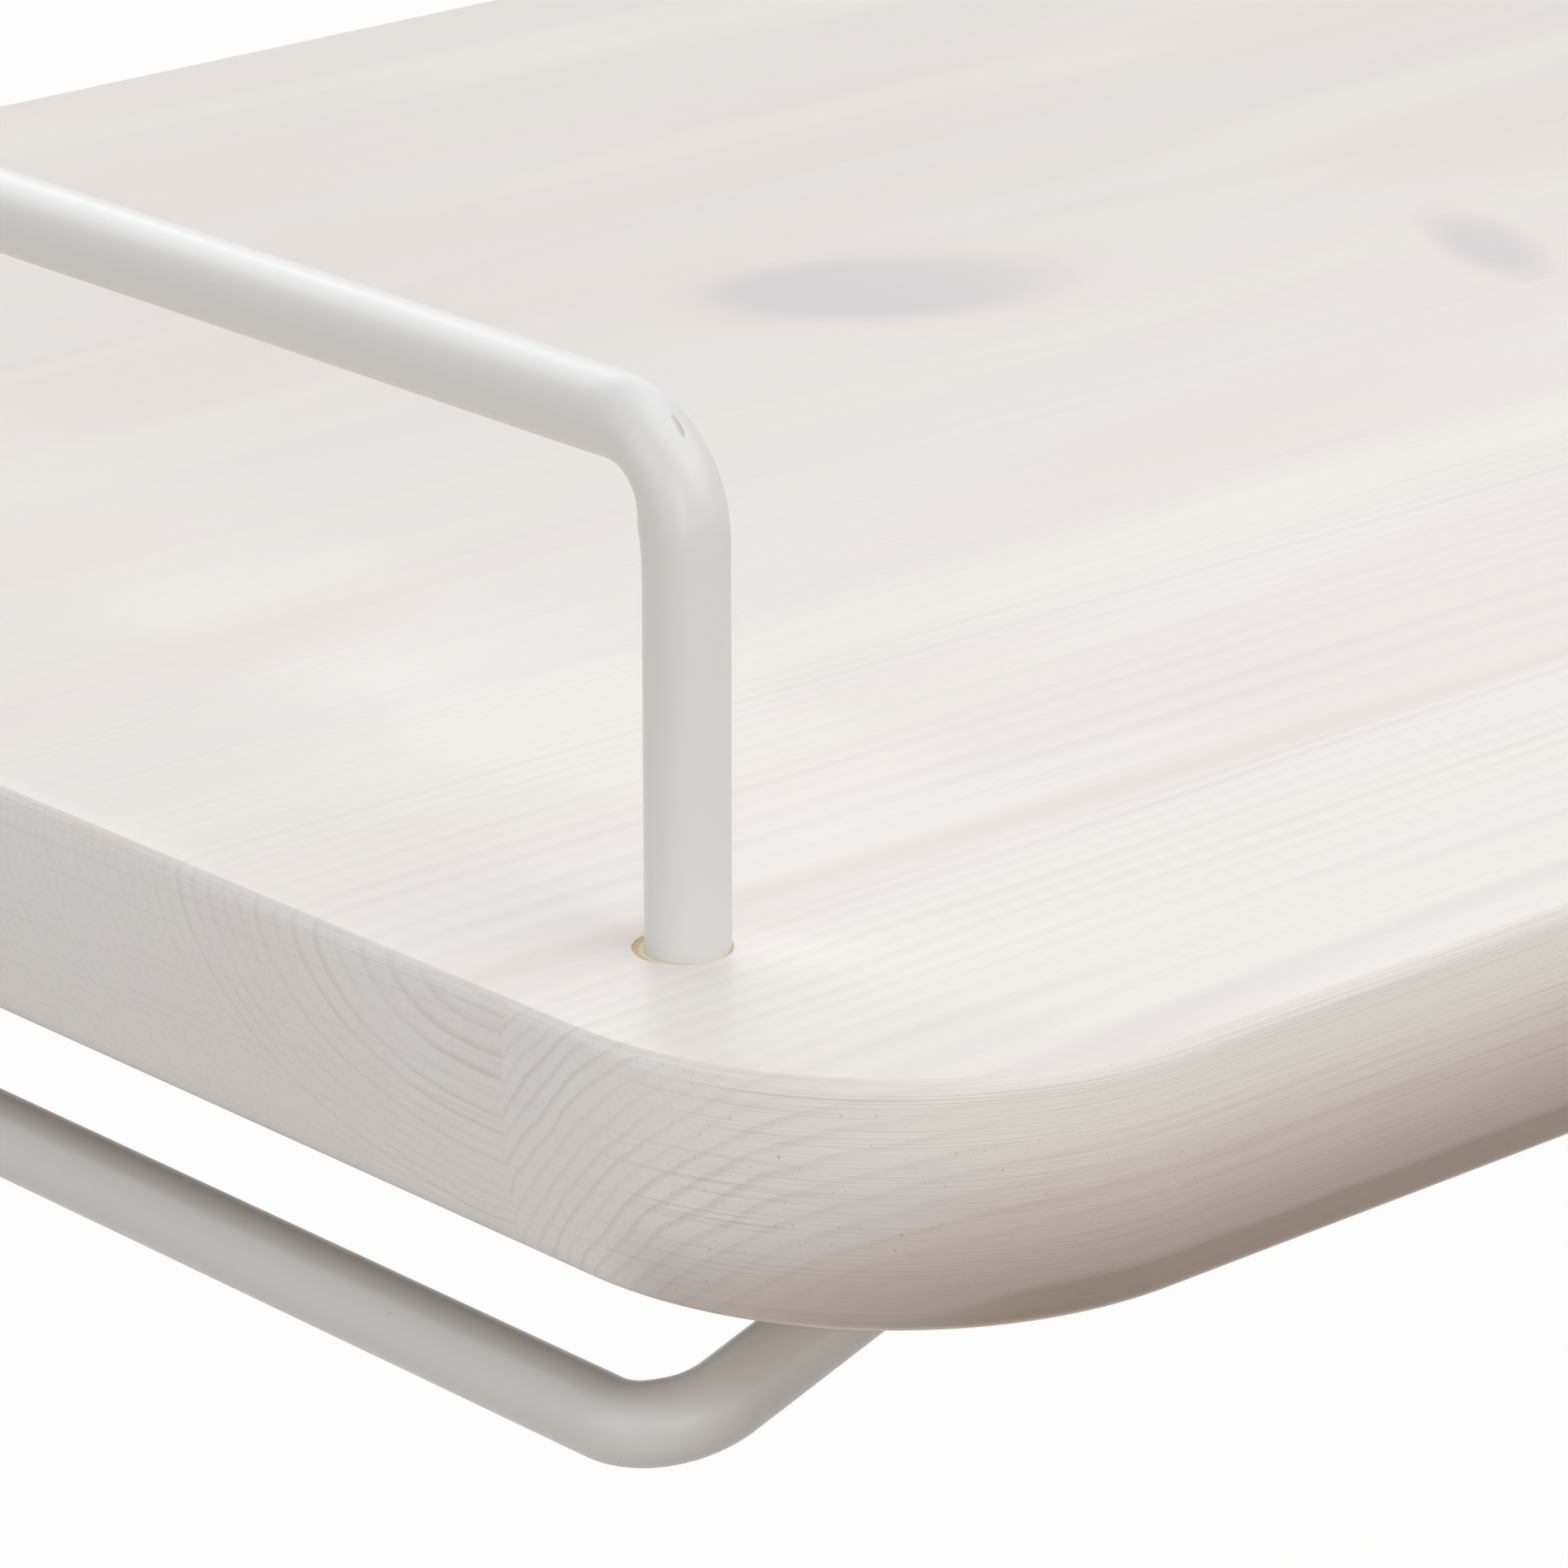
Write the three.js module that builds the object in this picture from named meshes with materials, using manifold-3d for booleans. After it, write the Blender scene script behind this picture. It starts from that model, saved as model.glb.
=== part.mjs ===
import * as THREE from 'three';
import { mergeVertices } from 'three/addons/utils/BufferGeometryUtils.js';
import Module from 'manifold-3d';

const wasm = await Module();
wasm.setup();

// Bedside shelf that hooks over a bed's side plank: a glued pine board between two bent-rod side rails,
// with a bent-rod brace under it. Millimetres. X runs along the shelf, +Y points at the bed, +Z is up.
// The origin is the middle of the board's back edge, the face that bears on the plank.

// Board
const boardLength = 420;
const boardDepth = 246.5;
const boardThickness = 19;
const cornerRadius = 29.5;
const topEdgeRadius = 2;
const bottomEdgeRadius = 5;
const frontStaveWidth = 36.1;
const widerStaveNames = ['front_middle_stave', 'back_middle_stave', 'back_stave'];

// Side rails, each one bent rod with a post welded under it at the back.
// The sockets are drilled a little outboard of the legs, so the gap shows on their outer side.
const rodDiameter = 6;
const railBendRadius = 7.3;
const railHeight = 36.2;
const legInset = 16;
const frontLegSetback = 35.3;
const rearPostSetback = 35.3;
const socketDiameter = 7;
const socketDepth = 12;
const socketOffset = 0.35;

// Hooks over the plank
const plankGap = 24;
const hookDrop = 55;
const sleeveWall = 0.9;
const sleeveLength = 42;
const sleeveFloor = 2;

// Lower brace: two arms under the ends of the board, cranked up to a bar along its underside
const braceBendRadius = 6.2;
const armInset = 7.1;
const armDrop = 13;
const barSetback = 27.9;
const crankAngle = THREE.MathUtils.degToRad(17.6);
const capWall = 1.5;
const capLength = 14;
const capFloor = 3;

// Saddles that hold the bar to the board
const saddleSpacing = 240;
const saddleWidth = 10;
const saddleThickness = 1.2;
const saddleEarLength = 6.4;

// Screws that come up into the legs, and their washers
const legScrew = { diameter: 3, length: 16, headDiameter: 6, headHeight: 2.2, recess: 3 };
const legBoreDepth = 11;
const washerDiameter = 9;
const washerThickness = 0.8;

// Screws that hold the saddles
const saddleScrew = { diameter: 2.9, length: 12, headDiameter: 5, headHeight: 1.8, recess: 2.6 };

// Clearances
const fitGap = 0.3;
const screwGap = 0.25;
const endChamfer = 0.6;

// Fineness of the facets. An arc in an outline gets two facets for each of its curveSegments.
const roundSides = 16;
const cornerFacets = 16;
const topEdgeSteps = 2;
const bottomEdgeSteps = 4;
const headSteps = 4;
const bendStep = Math.PI / 14;

// How far a cutting shape reaches past the face it cuts
const overcut = boardThickness;

// Places that several pieces share
const rodRadius = rodDiameter / 2;
const boardTop = boardThickness / 2;
const underside = -boardThickness / 2;
const railX = boardLength / 2 - legInset;
const railZ = boardTop + railHeight;
const frontLegY = -boardDepth + frontLegSetback;
const rearPostY = -rearPostSetback;
const socketFloor = boardTop - socketDepth;
const sleeveRadius = rodRadius + fitGap + sleeveWall;
const hookY = plankGap + sleeveRadius;
const hookEnd = railZ - hookDrop;
const armX = boardLength / 2 - armInset;
const armZ = underside - armDrop;
const barY = -boardDepth + barSetback;
const barZ = underside - fitGap - rodRadius;
const crankRun = (barZ - armZ) / Math.tan(crankAngle);
const saddleHoleOffset = rodRadius + fitGap + saddleThickness + saddleScrew.headDiameter / 2 + fitGap;
const saddleHalfSpan = rodRadius + fitGap + saddleThickness + saddleEarLength;

const whitewashedPine = new THREE.MeshStandardMaterial({ color: 0xe6e1dc, roughness: 0.45 });
const endStave = new THREE.MeshStandardMaterial({ color: 0xebe7e2, roughness: 0.42 });
const whiteCoat = new THREE.MeshStandardMaterial({ color: 0xe4e5e4, roughness: 0.35 });
const softPlastic = new THREE.MeshStandardMaterial({ color: 0xdcdcd8, roughness: 0.6 });
const zinc = new THREE.MeshStandardMaterial({ color: 0xb4b7ba, roughness: 0.3, metalness: 1 });

function solidOf(geometry) {
  const bare = geometry.clone();
  bare.deleteAttribute('normal');
  bare.deleteAttribute('uv');
  const merged = mergeVertices(bare);
  const corners = merged.index.array;
  const triVerts = [];
  for (let i = 0; i < corners.length; i += 3) {
    const [a, b, c] = corners.slice(i, i + 3);
    if (a !== b && b !== c && c !== a) {
      triVerts.push(a, b, c);
    }
  }
  return new wasm.Manifold(new wasm.Mesh({
    numProp: 3,
    vertProperties: new Float32Array(merged.attributes.position.array),
    triVerts: new Uint32Array(triVerts),
  }));
}

function geometryOf(solid) {
  const { vertProperties, triVerts } = solid.getMesh();
  const geometry = new THREE.BufferGeometry();
  geometry.setAttribute('position', new THREE.BufferAttribute(vertProperties, 3));
  geometry.setIndex(new THREE.BufferAttribute(triVerts, 1));
  geometry.computeVertexNormals();
  return geometry;
}

function uprightCylinder(diameter, bottom, top, x, y) {
  const geometry = new THREE.CylinderGeometry(diameter / 2, diameter / 2, top - bottom, roundSides);
  geometry.rotateX(Math.PI / 2);
  geometry.translate(x, y, (bottom + top) / 2);
  return solidOf(geometry);
}

// A turned shape about the Y axis, from a profile of radii and heights.
function lathe(profile) {
  const points = profile.map(([radius, height]) => new THREE.Vector2(radius, height));
  return new THREE.LatheGeometry(points, roundSides);
}

// A path through the ends and bends of a rod, with sections only where the rod starts, bends and ends.
class RodPath extends THREE.Curve {
  constructor(corners, bendRadius) {
    super();
    this.stations = [{ point: corners[0], tangent: heading(corners[0], corners[1]) }];
    for (let i = 1; i < corners.length - 1; i += 1) {
      const incoming = heading(corners[i - 1], corners[i]);
      const outgoing = heading(corners[i], corners[i + 1]);
      this.bend(incoming, corners[i], outgoing, bendRadius);
    }
    const last = corners.length - 1;
    this.stations.push({ point: corners[last], tangent: heading(corners[last - 1], corners[last]) });
  }

  bend(incoming, corner, outgoing, bendRadius) {
    const turn = incoming.angleTo(outgoing);
    const start = corner.clone().addScaledVector(incoming, -bendRadius * Math.tan(turn / 2));
    const inward = outgoing.clone().addScaledVector(incoming, -Math.cos(turn)).normalize();
    const centre = start.clone().addScaledVector(inward, bendRadius);
    const steps = Math.ceil(turn / bendStep);
    for (let k = 0; k <= steps; k += 1) {
      const angle = (turn * k) / steps;
      const point = centre.clone();
      point.addScaledVector(inward, -bendRadius * Math.cos(angle));
      point.addScaledVector(incoming, bendRadius * Math.sin(angle));
      const tangent = incoming.clone().multiplyScalar(Math.cos(angle));
      tangent.addScaledVector(inward, Math.sin(angle));
      this.stations.push({ point, tangent });
    }
  }

  stationAt(u) {
    return this.stations[Math.round(u * (this.stations.length - 1))];
  }

  getPointAt(u) {
    return this.stationAt(u).point.clone();
  }

  getTangentAt(u) {
    return this.stationAt(u).tangent.clone();
  }
}

function heading(from, to) {
  return to.clone().sub(from).normalize();
}

function bentRod(corners, bendRadius) {
  const path = new RodPath(corners, bendRadius);
  const section = new THREE.Shape();
  section.absarc(0, 0, rodRadius, 0, 2 * Math.PI);
  return solidOf(new THREE.ExtrudeGeometry(section, {
    extrudePath: path,
    steps: path.stations.length - 1,
    curveSegments: roundSides / 2,
    bevelEnabled: false,
  }));
}

function boardOutline() {
  const x = boardLength / 2 - cornerRadius;
  const back = -cornerRadius;
  const front = -boardDepth + cornerRadius;
  const quarter = Math.PI / 2;
  const outline = new THREE.Shape();
  outline.absarc(x, front, cornerRadius, -quarter, 0);
  outline.absarc(x, back, cornerRadius, 0, quarter);
  outline.absarc(-x, back, cornerRadius, quarter, 2 * quarter);
  outline.absarc(-x, front, cornerRadius, 2 * quarter, 3 * quarter);
  outline.closePath();
  return outline;
}

// A slab with the board's outline and all its edges rounded alike.
function roundedSlab(edgeRadius, edgeSteps, bottom, top) {
  const geometry = new THREE.ExtrudeGeometry(boardOutline(), {
    depth: top - bottom - 2 * edgeRadius,
    bevelThickness: edgeRadius,
    bevelSize: edgeRadius,
    bevelOffset: -edgeRadius,
    bevelSegments: edgeSteps,
    curveSegments: cornerFacets / 2,
  });
  geometry.translate(0, 0, bottom + edgeRadius);
  return solidOf(geometry);
}

// The board's top edge is eased and its bottom edge rounded over, so it is what two slabs share.
function wholeBoard() {
  const easedOnTop = roundedSlab(topEdgeRadius, topEdgeSteps, underside - overcut, boardTop);
  const roundedBelow = roundedSlab(bottomEdgeRadius, bottomEdgeSteps, underside, boardTop + overcut);
  let board = easedOnTop.intersect(roundedBelow);
  const screwHole = legScrew.diameter + 2 * screwGap;
  for (const side of [-1, 1]) {
    for (const y of [frontLegY, rearPostY]) {
      const socketX = side * (railX + socketOffset);
      const socket = uprightCylinder(socketDiameter, socketFloor, boardTop + overcut, socketX, y);
      const through = uprightCylinder(screwHole, underside - overcut, boardTop, side * railX, y);
      board = board.subtract(socket).subtract(through);
    }
  }
  const pilotHole = saddleScrew.diameter + 2 * screwGap;
  const pilotDepth = saddleScrew.length - saddleThickness + fitGap;
  for (const x of [-saddleSpacing / 2, saddleSpacing / 2]) {
    for (const y of [barY - saddleHoleOffset, barY + saddleHoleOffset]) {
      const pilot = uprightCylinder(pilotHole, underside - overcut, underside + pilotDepth, x, y);
      board = board.subtract(pilot);
    }
  }
  return board;
}

// One stave of the board, between two glue lines that run along X.
function stave(board, front, back) {
  const slice = new THREE.BoxGeometry(2 * boardLength, back - front, 2 * overcut);
  slice.translate(0, (front + back) / 2, 0);
  return geometryOf(board.intersect(solidOf(slice)));
}

// The front leg, the rail, the hook behind the plank and the welded post, standing at x = 0.
function sideRail() {
  const corners = [
    new THREE.Vector3(0, frontLegY, socketFloor),
    new THREE.Vector3(0, frontLegY, railZ),
    new THREE.Vector3(0, hookY, railZ),
    new THREE.Vector3(0, hookY, hookEnd),
  ];
  let rail = bentRod(corners, railBendRadius);
  rail = rail.add(uprightCylinder(rodDiameter, socketFloor, railZ, 0, rearPostY));
  for (const y of [frontLegY, rearPostY]) {
    const bore = legScrew.diameter + 2 * screwGap;
    rail = rail.subtract(uprightCylinder(bore, socketFloor - overcut, socketFloor + legBoreDepth, 0, y));
  }
  return geometryOf(rail);
}

function lowerBrace() {
  const armEnd = -capFloor - fitGap;
  const half = [
    new THREE.Vector3(armX, armEnd, armZ),
    new THREE.Vector3(armX, barY, armZ),
    new THREE.Vector3(armX - crankRun, barY, barZ),
  ];
  const mirror = new THREE.Vector3(-1, 1, 1);
  const otherHalf = half.map((corner) => corner.clone().multiply(mirror)).reverse();
  return geometryOf(bentRod([...half, ...otherHalf], braceBendRadius));
}

// A cup that slips over the end of a rod, its closed end facing +Y.
function rodCup(wall, floor, length) {
  const inner = rodRadius + fitGap;
  const outer = inner + wall;
  const profile = [
    [0, -floor],
    [inner, -floor],
    [inner, -length],
    [outer, -length],
    [outer, -endChamfer],
    [outer - endChamfer, 0],
    [0, 0],
  ];
  return geometryOf(solidOf(lathe(profile)));
}

function saddle() {
  const inner = rodRadius + fitGap;
  const outer = inner + saddleThickness;
  const centre = -inner;
  const outline = new THREE.Shape();
  outline.moveTo(-saddleHalfSpan, 0);
  outline.lineTo(-saddleHalfSpan, -saddleThickness);
  outline.lineTo(-outer, -saddleThickness);
  outline.absarc(0, centre, outer, Math.PI, 2 * Math.PI);
  outline.lineTo(outer, -saddleThickness);
  outline.lineTo(saddleHalfSpan, -saddleThickness);
  outline.lineTo(saddleHalfSpan, 0);
  outline.lineTo(inner, 0);
  outline.absarc(0, centre, inner, 0, -Math.PI, true);
  outline.lineTo(-inner, 0);
  outline.closePath();
  const geometry = new THREE.ExtrudeGeometry(outline, {
    depth: saddleWidth,
    curveSegments: roundSides / 2,
    bevelEnabled: false,
  });
  geometry.translate(0, 0, -saddleWidth / 2);
  geometry.rotateX(Math.PI / 2);
  geometry.rotateZ(Math.PI / 2);
  let strap = solidOf(geometry);
  const hole = saddleScrew.diameter + 2 * screwGap;
  for (const y of [-saddleHoleOffset, saddleHoleOffset]) {
    strap = strap.subtract(uprightCylinder(hole, -overcut, overcut, 0, y));
  }
  return geometryOf(strap);
}

// A domed screw that points up, its head's bearing face at z = 0, with a cross cut in the head.
function panScrew({ diameter, length, headDiameter, headHeight, recess }) {
  const shankRadius = diameter / 2;
  const headRadius = headDiameter / 2;
  const profile = [];
  for (let k = 0; k <= headSteps; k += 1) {
    const angle = ((Math.PI / 2) * k) / headSteps;
    profile.push([headRadius * Math.sin(angle), -headHeight * Math.cos(angle)]);
  }
  profile.push([shankRadius, 0], [shankRadius, length - shankRadius]);
  profile.push([shankRadius / 2, length], [0, length]);
  let screw = solidOf(lathe(profile).rotateX(Math.PI / 2));
  const recessDepth = headHeight / 2;
  const slotWidth = recess / 4;
  for (const angle of [0, Math.PI / 2]) {
    const slot = new THREE.BoxGeometry(recess, slotWidth, 2 * recessDepth);
    slot.rotateZ(angle);
    slot.translate(0, 0, -headHeight);
    screw = screw.subtract(solidOf(slot));
  }
  return geometryOf(screw);
}

function washer() {
  const inner = legScrew.diameter / 2 + screwGap;
  const outer = washerDiameter / 2;
  const profile = [
    [inner, 0],
    [outer, 0],
    [outer, washerThickness],
    [inner, washerThickness],
    [inner, 0],
  ];
  return geometryOf(solidOf(lathe(profile)));
}

function place(parent, name, geometry, material, x, y, z) {
  const mesh = new THREE.Mesh(geometry, material);
  mesh.name = name;
  mesh.position.set(x, y, z);
  parent.add(mesh);
  return mesh;
}

const shelf = new THREE.Group();
const board = new THREE.Group();
const ironwork = new THREE.Group();
shelf.add(board, ironwork);

const boardSolid = wholeBoard();
const firstGlueLine = -boardDepth + frontStaveWidth;
const widerStaveWidth = -firstGlueLine / widerStaveNames.length;
place(board, 'front_stave', stave(boardSolid, -boardDepth, firstGlueLine), endStave, 0, 0, 0);
widerStaveNames.forEach((name, i) => {
  const front = firstGlueLine + i * widerStaveWidth;
  const back = i === widerStaveNames.length - 1 ? 0 : front + widerStaveWidth;
  place(board, name, stave(boardSolid, front, back), whitewashedPine, 0, 0, 0);
});

place(ironwork, 'lower_brace', lowerBrace(), whiteCoat, 0, 0, 0);

for (const [side, sign] of [['left', -1], ['right', 1]]) {
  const x = sign * railX;
  place(ironwork, `${side}_side_rail`, sideRail(), whiteCoat, x, 0, 0);
  const sleeve = rodCup(sleeveWall, sleeveFloor, sleeveLength);
  const sleeveEnd = hookEnd - fitGap - sleeveFloor;
  place(ironwork, `${side}_hook_sleeve`, sleeve, softPlastic, x, hookY, sleeveEnd).rotation.x = -Math.PI / 2;
  const cap = rodCup(capWall, capFloor, capLength);
  place(ironwork, `${side}_brace_cap`, cap, softPlastic, sign * armX, 0, armZ);
  for (const [end, y] of [['front', frontLegY], ['rear', rearPostY]]) {
    const washerZ = underside - washerThickness;
    place(ironwork, `${side}_${end}_washer`, washer(), zinc, x, y, washerZ).rotation.x = Math.PI / 2;
    place(ironwork, `${side}_${end}_leg_screw`, panScrew(legScrew), zinc, x, y, washerZ);
  }
  const saddleX = (sign * saddleSpacing) / 2;
  place(ironwork, `${side}_saddle`, saddle(), whiteCoat, saddleX, barY, underside);
  for (const [end, offset] of [['front', -saddleHoleOffset], ['rear', saddleHoleOffset]]) {
    const screwZ = underside - saddleThickness;
    const name = `${side}_saddle_${end}_screw`;
    place(ironwork, name, panScrew(saddleScrew), zinc, saddleX, barY + offset, screwZ);
  }
}

export default shelf;
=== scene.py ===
import math

import bmesh
import bpy
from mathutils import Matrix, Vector, noise


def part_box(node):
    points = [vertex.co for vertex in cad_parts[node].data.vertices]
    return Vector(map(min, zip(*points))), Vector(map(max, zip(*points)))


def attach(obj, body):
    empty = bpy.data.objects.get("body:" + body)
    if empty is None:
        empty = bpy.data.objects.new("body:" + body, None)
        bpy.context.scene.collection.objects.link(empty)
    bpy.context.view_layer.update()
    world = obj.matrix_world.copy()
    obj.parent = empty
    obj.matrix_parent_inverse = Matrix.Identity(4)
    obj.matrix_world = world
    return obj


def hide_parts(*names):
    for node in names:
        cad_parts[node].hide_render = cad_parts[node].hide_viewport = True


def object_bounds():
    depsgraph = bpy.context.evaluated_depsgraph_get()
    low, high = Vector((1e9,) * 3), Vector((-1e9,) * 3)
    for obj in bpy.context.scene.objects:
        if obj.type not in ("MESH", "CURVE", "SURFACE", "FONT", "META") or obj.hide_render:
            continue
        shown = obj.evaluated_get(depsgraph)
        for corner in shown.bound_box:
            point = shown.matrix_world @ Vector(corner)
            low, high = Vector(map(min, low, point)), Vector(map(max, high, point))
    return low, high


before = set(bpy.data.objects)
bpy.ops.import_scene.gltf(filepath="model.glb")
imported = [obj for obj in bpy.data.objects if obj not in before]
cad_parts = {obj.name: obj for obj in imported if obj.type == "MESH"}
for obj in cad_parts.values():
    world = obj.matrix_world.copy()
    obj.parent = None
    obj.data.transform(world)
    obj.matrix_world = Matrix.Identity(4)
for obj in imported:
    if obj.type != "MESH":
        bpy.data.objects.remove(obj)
CAD_LOW, CAD_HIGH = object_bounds()

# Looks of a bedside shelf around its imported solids. Metres. X runs along the shelf, +Y points at the bed
# and +Z is up. The origin is the middle of the board's back edge.

MM = 0.001
STAVES = ("front_stave", "front_middle_stave", "back_middle_stave", "back_stave")
SIDES = {"left": -1, "right": 1}
ENDS = ("front", "rear")

# Board edges and holes, in the sizes that the staves were made to
CORNER_RADIUS = 29.5 * MM
CROWN_RADIUS = 50 * MM
CROWN_HEIGHT = 3.5 * MM
ARRIS_RADIUS = 2 * MM
ARRIS_DEGREES = 50
ARRIS_DROP = 0.12 * MM
ROLLED_MARGIN = 2.4 * MM
BOTTOM_RADIUS = 2.5 * MM
SOCKET_DEPTH = 12 * MM
RIM_OUTWARD = 0.4 * MM
RIM_BACK = 0.05 * MM
SOCKET_FIT = 3.01 * MM
SOCKET_RIM = 3.5 * MM
RIM_DEPTH = 0.22 * MM
RIM_TEAR = 0.09 * MM
SCREW_HOLE = 3.5 * MM
PILOT_HOLE = 3.4 * MM
PILOT_DEPTH = 11.1 * MM

# Rods
RAIL_BEND_RADIUS = 7.3 * MM
BRACE_BEND_RADIUS = 6.2 * MM
CRANK_DEGREES = 17.6

# How far the inner side of a bend is pinched in and bulges out, as shares of the rod's radius, and how far
# round the bend it bulges. Then over what shares of the bend the pinch and the bulge reach.
RAIL_BEND_SHAPE = dict(pinch=0.26, bulge=0.17, bulge_at=0.14)
BRACE_BEND_SHAPE = dict(pinch=0.04, bulge=0.08, bulge_at=0.5)
PINCH_REACH = 0.27
BULGE_REACH = 0.17

# Posts, weld and the chip in the left rail's paint
REAR_POST_SETBACK = 35.3 * MM
LEG_BORE = 3.5 * MM
LEG_BORE_DEPTH = 11 * MM
WELD_FILLET = 1.3 * MM
CHIP_DEGREES = 50.5
CHIP_LENGTH = 2.1 * MM
CHIP_WIDTH = 0.5 * MM
CHIP_DEPTH = 0.12 * MM
ROD_SIDES = 96

# Plastic cups on the rods' ends
SLEEVE_WALL = 0.9 * MM
SLEEVE_FLOOR = 2 * MM
CAP_WALL = 1.5 * MM
CAP_FLOOR = 3 * MM

# Screws and saddles
LEG_SCREW = {"shank": 3 * MM, "head": 2.2 * MM, "recess": 3.2 * MM}
SADDLE_SCREW = {"shank": 2.9 * MM, "head": 1.8 * MM, "recess": 2.7 * MM}
SADDLE_THICKNESS = 1.2 * MM
SADDLE_GAP = 0.3 * MM

# The photograph's camera, in the shelf's own frame
CAMERA_PLACE = Vector((-516.201, -574.864, 197.163)) * MM
CAMERA_AHEAD = Vector((0.63290705, 0.69531193, -0.34054366))
FRAME_PIXELS = 1932
FOCAL_PIXELS = 9430
SENSOR = 36


def box_of(*names):
    lows, highs = zip(*(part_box(name) for name in names))
    low = Vector([min(corner[i] for corner in lows) for i in range(3)])
    high = Vector([max(corner[i] for corner in highs) for i in range(3)])
    return low, high


def middle_of(name):
    low, high = box_of(name)
    return (low + high) / 2


BOARD_LOW, BOARD_HIGH = box_of(*STAVES)
RAIL_LOW, RAIL_HIGH = box_of("right_side_rail")
BRACE_LOW, BRACE_HIGH = box_of("lower_brace")
ROD_RADIUS = (RAIL_HIGH.x - RAIL_LOW.x) / 2
RAIL_X = (RAIL_HIGH.x + RAIL_LOW.x) / 2
RAIL_Z = RAIL_HIGH.z - ROD_RADIUS
HOOK_Y = RAIL_HIGH.y - ROD_RADIUS
HOOK_END = RAIL_LOW.z
LEG_Y = RAIL_LOW.y + ROD_RADIUS
POST_Y = -REAR_POST_SETBACK
SOCKET_BOTTOM = BOARD_HIGH.z - SOCKET_DEPTH


def chip_place():
    """The chip on the left rail's bend: its middle, the way along it, and the way out of the paint."""
    angle = math.radians(CHIP_DEGREES)
    out = Vector((0, -math.cos(angle), math.sin(angle)))
    centre = Vector((-RAIL_X, LEG_Y + RAIL_BEND_RADIUS, RAIL_Z - RAIL_BEND_RADIUS))
    along = Vector((0.1, math.sin(angle), math.cos(angle))).normalized()
    return centre + out * (RAIL_BEND_RADIUS + ROD_RADIUS * 0.985), along, out


CHIP = chip_place()


# Meshes

def add_object(name, mesh):
    made = bpy.data.objects.new(name, mesh)
    bpy.context.scene.collection.objects.link(made)
    return made


def mesh_object(name, points, faces):
    mesh = bpy.data.meshes.new(name)
    mesh.from_pydata([tuple(p) for p in points], [], faces)
    work = bmesh.new()
    work.from_mesh(mesh)
    bmesh.ops.recalc_face_normals(work, faces=work.faces)
    work.to_mesh(mesh)
    work.free()
    return add_object(name, mesh)


def turns(sides):
    """Angles evenly round a circle."""
    return [2 * math.pi * k / sides for k in range(sides)]


def ring_faces(rings, sides, closed=False):
    faces = []
    for i in range(rings if closed else rings - 1):
        here, there = i * sides, ((i + 1) % rings) * sides
        for k in range(sides):
            n = (k + 1) % sides
            faces.append((here + k, here + n, there + n, there + k))
    return faces


def capped_tube(name, rings):
    """A closed mesh through rings of points, with a flat face at each end."""
    sides = len(rings[0])
    faces = ring_faces(len(rings), sides)
    faces.append(tuple(range(sides)))
    faces.append(tuple(range((len(rings) - 1) * sides, len(rings) * sides)))
    return mesh_object(name, [p for ring in rings for p in ring], faces)


def settle(made):
    """Applies the modifiers of a piece to its mesh."""
    bpy.context.view_layer.update()
    seen = made.evaluated_get(bpy.context.evaluated_depsgraph_get())
    mesh = bpy.data.meshes.new_from_object(seen)
    made.modifiers.clear()
    made.data = mesh


def combine(made, operation, others):
    """Cuts away, joins or keeps what is shared with the other meshes, which are used up."""
    for other in others:
        step = made.modifiers.new(operation, "BOOLEAN")
        step.operation = operation
        step.solver = "EXACT"
        step.object = other
    settle(made)
    for other in others:
        bpy.data.objects.remove(other)


def ease(made, width, segments=2, degrees=38):
    """Rounds the creases of a piece by a small radius."""
    rounding = made.modifiers.new("ease", "BEVEL")
    rounding.width = width
    rounding.segments = segments
    rounding.limit_method = "ANGLE"
    rounding.angle_limit = math.radians(degrees)
    settle(made)


def shade(made, sharp_degrees):
    """Smooth faces with true creases, and normals that follow the larger faces."""
    work = bmesh.new()
    work.from_mesh(made.data)
    for face in work.faces:
        face.smooth = True
    for edge in work.edges:
        if len(edge.link_faces) == 2:
            edge.smooth = edge.calc_face_angle() < math.radians(sharp_degrees)
    work.to_mesh(made.data)
    work.free()
    weighted = made.modifiers.new("weighted normals", "WEIGHTED_NORMAL")
    weighted.keep_sharp = True


def arc(centre_radius, centre_height, radius, start, end, steps):
    """Points of a profile on an arc, with angles in degrees."""
    made = []
    for k in range(steps + 1):
        angle = math.radians(start + (end - start) * k / steps)
        made.append((centre_radius + radius * math.cos(angle), centre_height + radius * math.sin(angle)))
    return made


def turned(name, profile, place, axis=(0, 0, 1), sides=64, ring=False):
    """A turned solid, from radii and heights along its axis.

    A ring's profile closes on itself. Any other profile starts and ends on the axis.
    """
    turn = Vector((0, 0, 1)).rotation_difference(Vector(axis)).to_matrix()
    place = Vector(place)
    open_profile = profile if ring else profile[1:-1]
    points = []
    for radius, height in open_profile:
        for angle in turns(sides):
            point = Vector((radius * math.cos(angle), radius * math.sin(angle), height))
            points.append(place + turn @ point)
    faces = ring_faces(len(open_profile), sides, closed=ring)
    if not ring:
        last = len(points) - sides
        points.append(place + turn @ Vector((0, 0, profile[0][1])))
        points.append(place + turn @ Vector((0, 0, profile[-1][1])))
        for k in range(sides):
            n = (k + 1) % sides
            faces.append((len(points) - 2, n, k))
            faces.append((len(points) - 1, last + k, last + n))
    return mesh_object(name, points, faces)


def block(name, low, high):
    points = [(x, y, z) for z in (low[2], high[2]) for y in (low[1], high[1]) for x in (low[0], high[0])]
    faces = [(0, 2, 3, 1), (4, 5, 7, 6), (0, 1, 5, 4), (2, 6, 7, 3), (0, 4, 6, 2), (1, 3, 7, 5)]
    return mesh_object(name, points, faces)


# Shaders

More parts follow.
